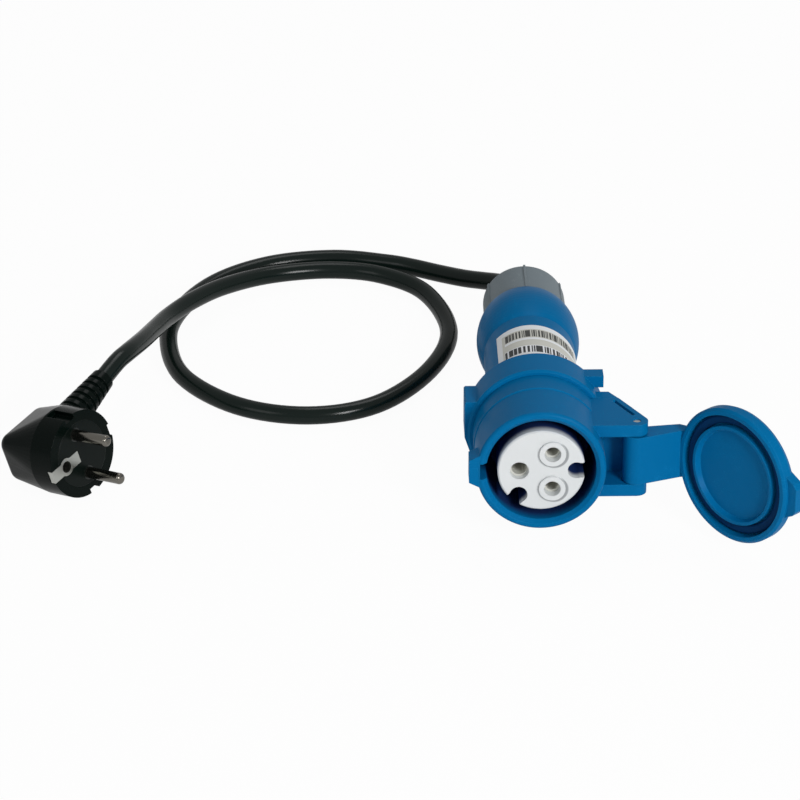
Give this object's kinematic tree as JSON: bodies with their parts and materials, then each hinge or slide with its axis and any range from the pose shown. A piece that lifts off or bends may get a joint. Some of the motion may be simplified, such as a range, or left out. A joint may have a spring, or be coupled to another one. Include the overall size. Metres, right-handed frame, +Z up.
{
  "type": "pin and sleeve adapter",
  "caption": "Adapter lead: angled earthed plug, short round cable with a loop, and a blue pin and sleeve connector with a grey gland nut and a hinged round lid.",
  "frame": {"origin": "plan centre of the connector and its open lid, on the floor", "axes": "+Z up; +Y from the socket mouth back to the gland; +X to the lid's hinge side"},
  "size_m": [0.3272, 0.2614, 0.0633],
  "materials": {
    "blue_plastic": "satin moulded",
    "insert_plastic": "satin moulded",
    "grey_plastic": "satin moulded",
    "black_plastic": "fine grain",
    "bridge_plastic": "satin moulded",
    "black_sheath": "satin sheath",
    "rubber": "matt",
    "brass": "turned",
    "steel": "bright",
    "nickel": "nickel plate",
    "core_brown": "satin",
    "core_blue": "satin",
    "core_green": "satin"
  },
  "bodies": {
    "connector": {"front_housing": "blue_plastic", "rear_housing": "blue_plastic", "contact_insert": "insert_plastic", "phase_sleeve": "brass", "neutral_sleeve": "brass", "earth_sleeve": "brass", "terminal_screws": "steel", "housing_seal": "rubber", "gland_nut": "grey_plastic", "gland_seal": "rubber", "clamp_ring": "insert_plastic", "phase_core": "core_brown", "neutral_core": "core_blue", "earth_core": "core_green", "hinge_pin": "steel", "lid_spring": "steel", "cable": "black_sheath", "plug_body": "black_plastic", "pin_bridge": "bridge_plastic", "line_pin": "nickel", "neutral_pin": "nickel", "earth_strap": "nickel"},
    "lid": {"lid": "blue_plastic", "lid_gasket": "rubber"}
  },
  "joints": [
    {"name": "lid_hinge", "type": "hinge", "parent": "connector", "child": "lid", "pos_m": [0.00232, -0.05514, 0.0324], "axis": [0, 0.094, 0.9956], "range_deg": [-133, 16], "deforming": ["lid_spring"]}
  ]
}
